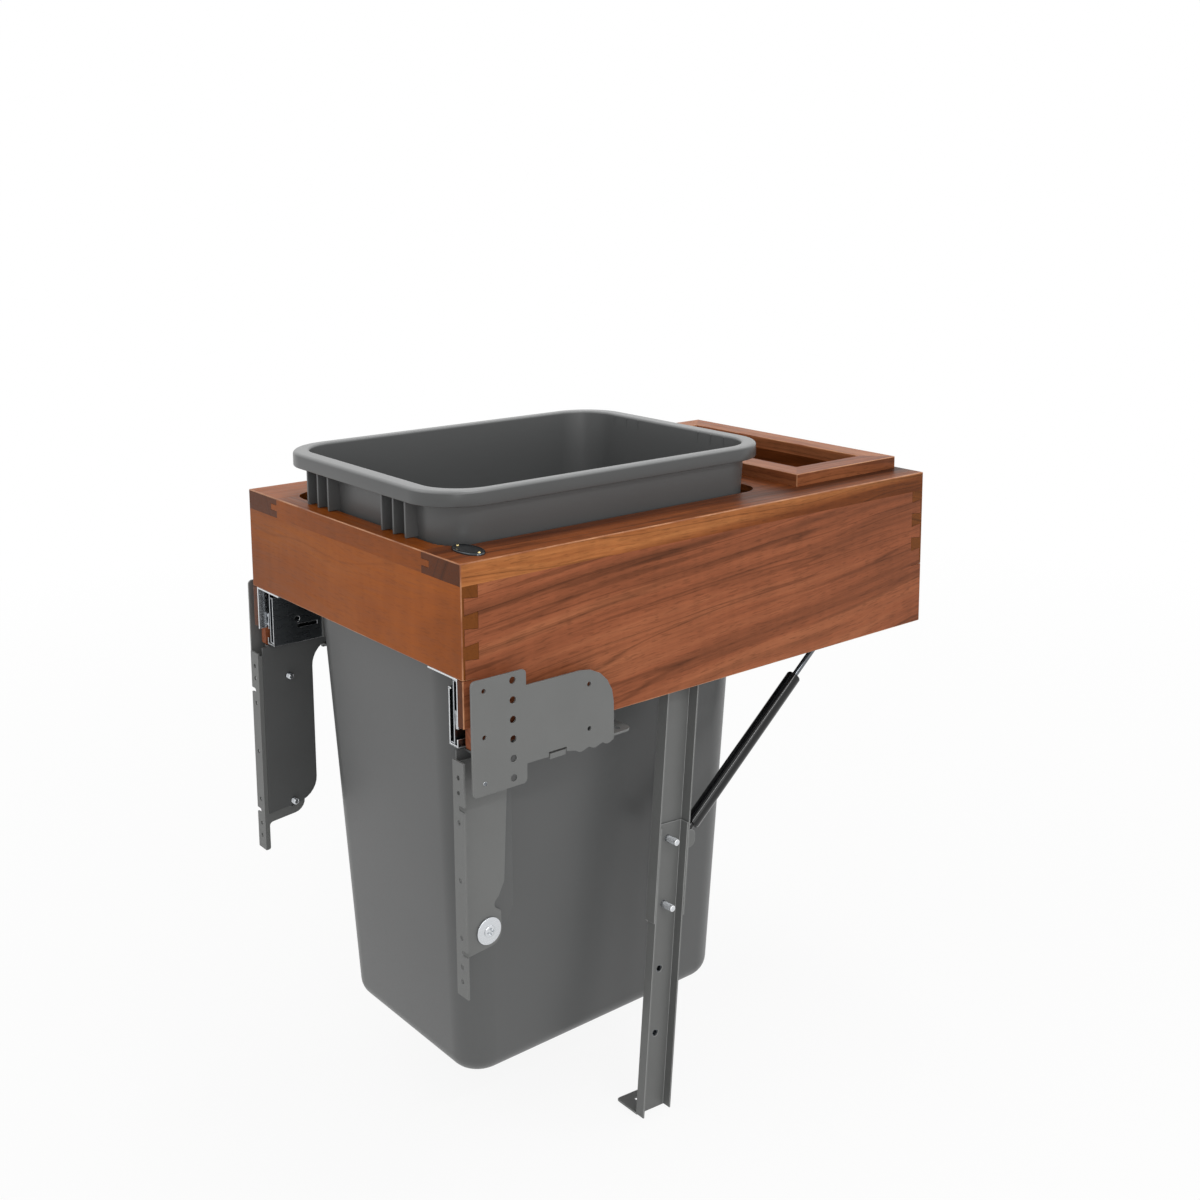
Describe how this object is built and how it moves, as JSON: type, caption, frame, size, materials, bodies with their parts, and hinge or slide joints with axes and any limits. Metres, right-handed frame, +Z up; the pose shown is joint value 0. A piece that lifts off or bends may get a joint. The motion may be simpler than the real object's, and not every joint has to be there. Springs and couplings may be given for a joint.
{
  "type": "pull-out bin unit",
  "caption": "Top-mounted pull-out bin unit for a kitchen base cabinet: a walnut drawer frame holds a lift-out bin and a small box, on slides, brackets, legs and struts.",
  "frame": {"origin": "on the cabinet floor under the middle of the unit's outer box: midway between the cabinet brackets' outer faces, and between the door angles' front faces and the frame's rear face", "axes": "+X to the right seen from the front, +Y back into the cabinet, +Z up; the drawer pulls out along -Y"},
  "size_m": [0.402, 0.576, 0.633],
  "materials": {
    "walnut": "clear satin lacquer on walnut",
    "front_walnut": "clear satin lacquer on a redder flat-sawn board",
    "bin_plastic": "fine moulded texture, grey polypropylene",
    "grey_steel": "grey powder coat, satin",
    "zinc": "bright zinc plate",
    "black_enamel": "gloss black enamel",
    "rod_steel": "dark polished steel",
    "plate_metal": "polished dark metal, plain"
  },
  "bodies": {
    "cabinet_side": {"slide_cabinet_member_right": "zinc", "cabinet_bracket_right": "grey_steel", "bracket_screw_right": "zinc", "leg_pivot_bolt_right": "zinc", "ball_stud_upper_right": "zinc", "slide_cabinet_member_left": "zinc", "cabinet_bracket_left": "grey_steel", "bracket_screw_left": "zinc", "leg_pivot_bolt_left": "zinc", "ball_stud_upper_left": "zinc"},
    "drawer": {"side_board_right": "walnut", "side_board_left": "walnut", "front_board": "front_walnut", "back_board": "walnut", "top_rail_right": "walnut", "top_rail_left": "walnut", "top_rail_front": "walnut", "top_rail_middle": "walnut", "top_rail_rear": "walnut", "name_plate": "plate_metal", "slide_drawer_member_right": "zinc", "door_plate_right": "grey_steel", "clamp_screw_upper_right": "zinc", "clamp_screw_lower_right": "zinc", "slide_drawer_member_left": "zinc", "door_plate_left": "grey_steel", "clamp_screw_upper_left": "zinc", "clamp_screw_lower_left": "zinc"},
    "bin": {"bin": "bin_plastic"},
    "accessory_box": {"accessory_trim_front": "walnut", "accessory_trim_rear": "walnut", "accessory_trim_right": "walnut", "accessory_trim_left": "walnut", "accessory_box_front": "walnut", "accessory_box_rear": "walnut", "accessory_box_right": "walnut", "accessory_box_left": "walnut", "accessory_box_floor": "walnut"},
    "slide_middle_right": {"slide_middle_member_right": "zinc", "slide_ball_cage_right": "zinc"},
    "door_angle_right": {"door_angle_right": "grey_steel"},
    "leg_right": {"leg_upper_right": "grey_steel", "leg_lower_right": "grey_steel", "leg_stud_upper_right": "zinc", "leg_stud_lower_right": "zinc", "leg_rivet_right": "grey_steel", "ball_stud_lower_right": "zinc"},
    "strut_tube_right": {"strut_tube_right": "black_enamel"},
    "strut_rod_right": {"strut_rod_right": "rod_steel"},
    "slide_middle_left": {"slide_middle_member_left": "zinc", "slide_ball_cage_left": "zinc"},
    "door_angle_left": {"door_angle_left": "grey_steel"},
    "leg_left": {"leg_upper_left": "grey_steel", "leg_lower_left": "grey_steel", "leg_stud_upper_left": "zinc", "leg_stud_lower_left": "zinc", "leg_rivet_left": "grey_steel", "ball_stud_lower_left": "zinc"},
    "strut_tube_left": {"strut_tube_left": "black_enamel"},
    "strut_rod_left": {"strut_rod_left": "rod_steel"}
  },
  "joints": [
    {"name": "drawer_slide", "type": "slide", "parent": "cabinet_side", "child": "drawer", "axis": [0, -1, 0], "range_m": [0, 0.5]},
    {"name": "bin_lift", "type": "slide", "parent": "drawer", "child": "bin", "axis": [0, 0, 1], "range_m": [0, 0.53]},
    {"name": "accessory_box_lift", "type": "slide", "parent": "drawer", "child": "accessory_box", "axis": [0, 0, 1], "range_m": [0, 0.11]},
    {"name": "slide_middle_right", "type": "slide", "parent": "cabinet_side", "child": "slide_middle_right", "axis": [0, -1, 0], "range_m": [0, 0.26]},
    {"name": "slide_middle_left", "type": "slide", "parent": "cabinet_side", "child": "slide_middle_left", "axis": [0, -1, 0], "range_m": [0, 0.26]},
    {"name": "door_height_right", "type": "slide", "parent": "drawer", "child": "door_angle_right", "axis": [0, 0, 1], "range_m": [-0.004, 0.004]},
    {"name": "door_height_left", "type": "slide", "parent": "drawer", "child": "door_angle_left", "axis": [0, 0, 1], "range_m": [-0.004, 0.004]},
    {"name": "leg_swing_right", "type": "hinge", "parent": "cabinet_side", "child": "leg_right", "pos_m": [0.164, -0.0315, 0.444], "axis": [1, 0, 0], "range_deg": [0, 9]},
    {"name": "strut_turn_right", "type": "hinge", "parent": "leg_right", "child": "strut_tube_right", "pos_m": [0.155, -0.01564, 0.2632], "axis": [1, 0, 0], "range_deg": [-6, 0.5]},
    {"name": "strut_stroke_right", "type": "slide", "parent": "strut_tube_right", "child": "strut_rod_right", "axis": [0, 0.7648, 0.6443], "range_m": [-0.025, 0.002]},
    {"name": "leg_swing_left", "type": "hinge", "parent": "cabinet_side", "child": "leg_left", "pos_m": [-0.164, -0.0315, 0.444], "axis": [1, 0, 0], "range_deg": [0, 9]},
    {"name": "strut_turn_left", "type": "hinge", "parent": "leg_left", "child": "strut_tube_left", "pos_m": [-0.155, -0.01564, 0.2632], "axis": [1, 0, 0], "range_deg": [-6, 0.5]},
    {"name": "strut_stroke_left", "type": "slide", "parent": "strut_tube_left", "child": "strut_rod_left", "axis": [0, 0.7648, 0.6443], "range_m": [-0.025, 0.002]}
  ],
  "couplings": [
    {"joint": "slide_middle_right", "follows": "drawer_slide", "ratio": 0.5},
    {"joint": "slide_middle_left", "follows": "drawer_slide", "ratio": 0.5},
    {"joint": "door_height_left", "follows": "door_height_right", "ratio": 1},
    {"joint": "strut_turn_right", "follows": "leg_swing_right", "ratio": -0.64008},
    {"joint": "strut_stroke_right", "follows": "leg_swing_right", "m_per_rad": -0.15346},
    {"joint": "strut_turn_left", "follows": "leg_swing_left", "ratio": -0.64008},
    {"joint": "strut_stroke_left", "follows": "leg_swing_left", "m_per_rad": -0.15346}
  ]
}
